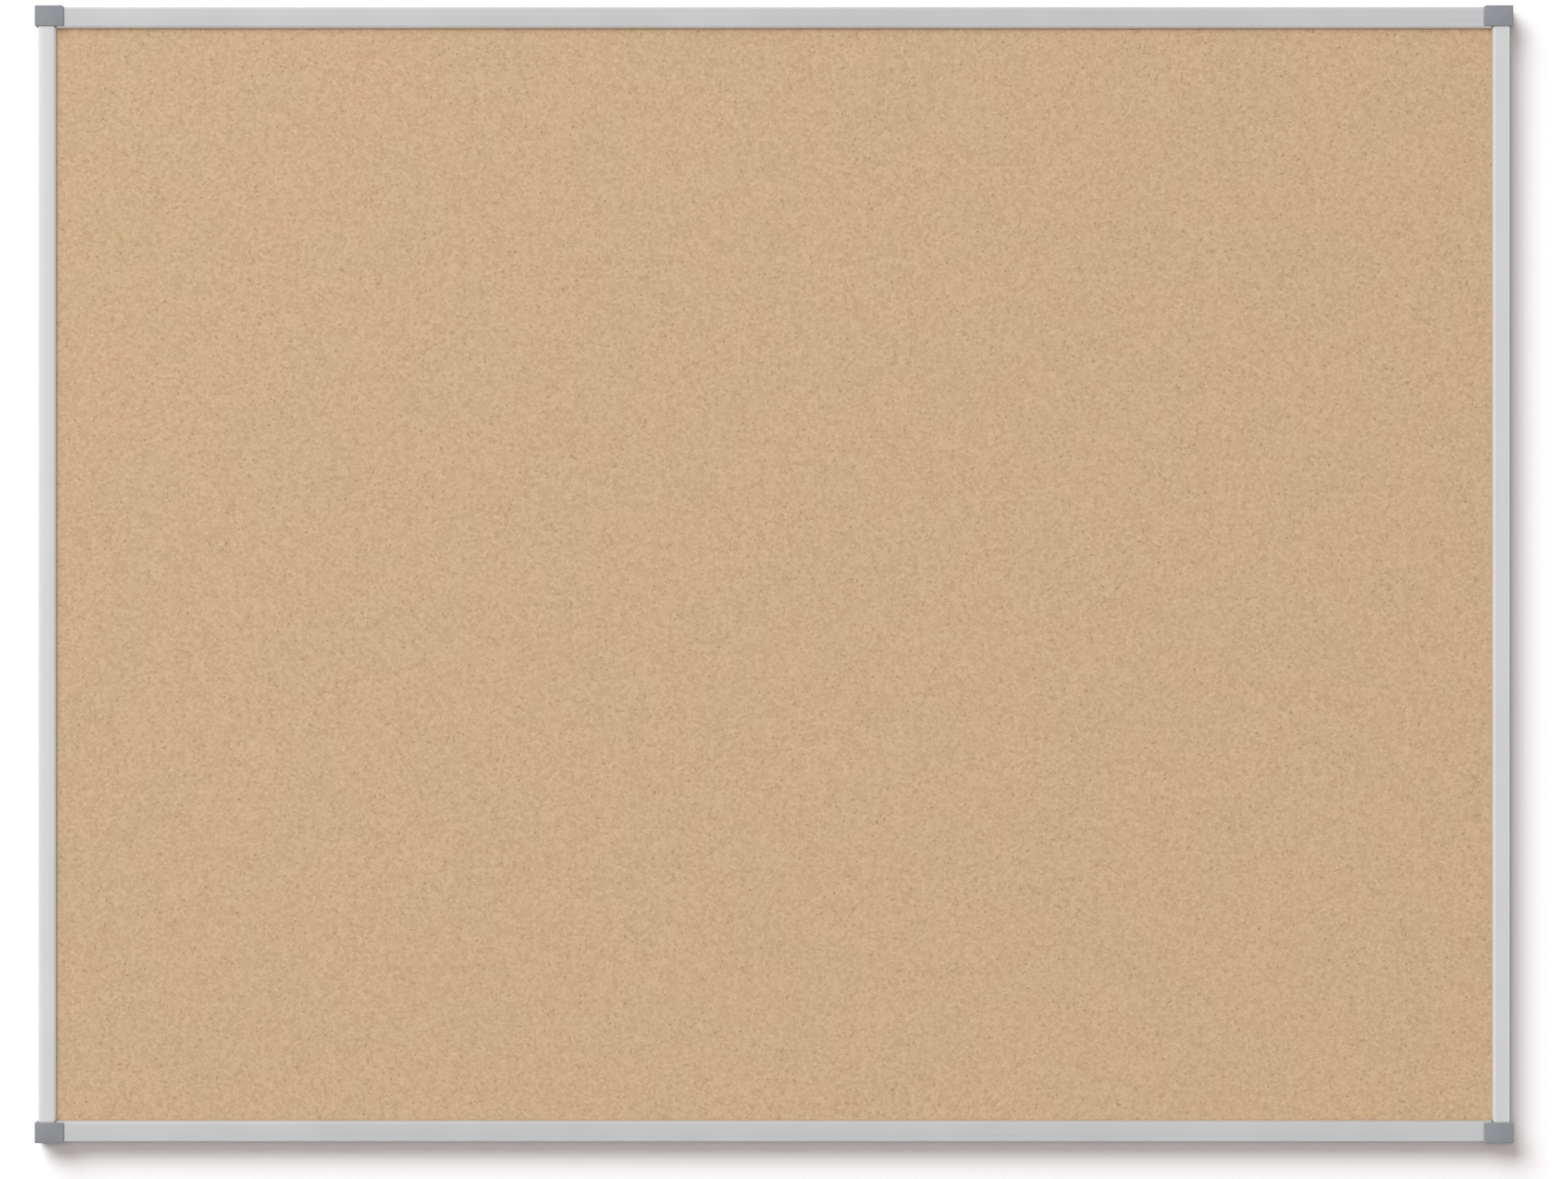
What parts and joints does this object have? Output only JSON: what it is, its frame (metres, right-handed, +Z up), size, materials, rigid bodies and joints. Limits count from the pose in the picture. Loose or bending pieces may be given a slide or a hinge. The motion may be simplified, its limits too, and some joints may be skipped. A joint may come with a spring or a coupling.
{
  "type": "cork bulletin board",
  "caption": "Wall-hung cork bulletin board: cork-faced fibreboard in a slim aluminium frame with pull-off plastic corner caps over its wall fixings.",
  "frame": {"origin": "middle of the board's back, on the plane of the wall that it hangs on", "axes": "+X to the right seen from the front, +Y into the wall, +Z up; the cork faces -Y"},
  "size_m": [1.2054, 0.0194, 0.9278],
  "materials": {
    "cork": "matte",
    "fibreboard": "matte",
    "liner": "matte",
    "aluminium": "satin",
    "cap_plastic": "satin",
    "key_plastic": "matte",
    "zinc_steel": "satin"
  },
  "bodies": {
    "board": {"cork_sheet": "cork", "fibreboard_core": "fibreboard", "back_liner": "liner", "rail_left": "aluminium", "rail_right": "aluminium", "rail_top": "aluminium", "rail_bottom": "aluminium", "corner_key_top_left": "key_plastic", "corner_key_top_right": "key_plastic", "corner_key_bottom_left": "key_plastic", "corner_key_bottom_right": "key_plastic", "screw_top_left_side_rail": "zinc_steel", "screw_top_left_top_rail": "zinc_steel", "screw_top_right_side_rail": "zinc_steel", "screw_top_right_top_rail": "zinc_steel", "screw_bottom_left_side_rail": "zinc_steel", "screw_bottom_left_bottom_rail": "zinc_steel", "screw_bottom_right_side_rail": "zinc_steel", "screw_bottom_right_bottom_rail": "zinc_steel"},
    "cap_top_left": {"corner_cap_top_left": "cap_plastic"},
    "cap_top_right": {"corner_cap_top_right": "cap_plastic"},
    "cap_bottom_left": {"corner_cap_bottom_left": "cap_plastic"},
    "cap_bottom_right": {"corner_cap_bottom_right": "cap_plastic"}
  },
  "joints": [
    {"name": "cap_top_left_pull", "type": "slide", "parent": "board", "child": "cap_top_left", "axis": [0, -1, 0], "range_m": [0, 0.03]},
    {"name": "cap_top_right_pull", "type": "slide", "parent": "board", "child": "cap_top_right", "axis": [0, -1, 0], "range_m": [0, 0.03]},
    {"name": "cap_bottom_left_pull", "type": "slide", "parent": "board", "child": "cap_bottom_left", "axis": [0, -1, 0], "range_m": [0, 0.03]},
    {"name": "cap_bottom_right_pull", "type": "slide", "parent": "board", "child": "cap_bottom_right", "axis": [0, -1, 0], "range_m": [0, 0.03]}
  ]
}
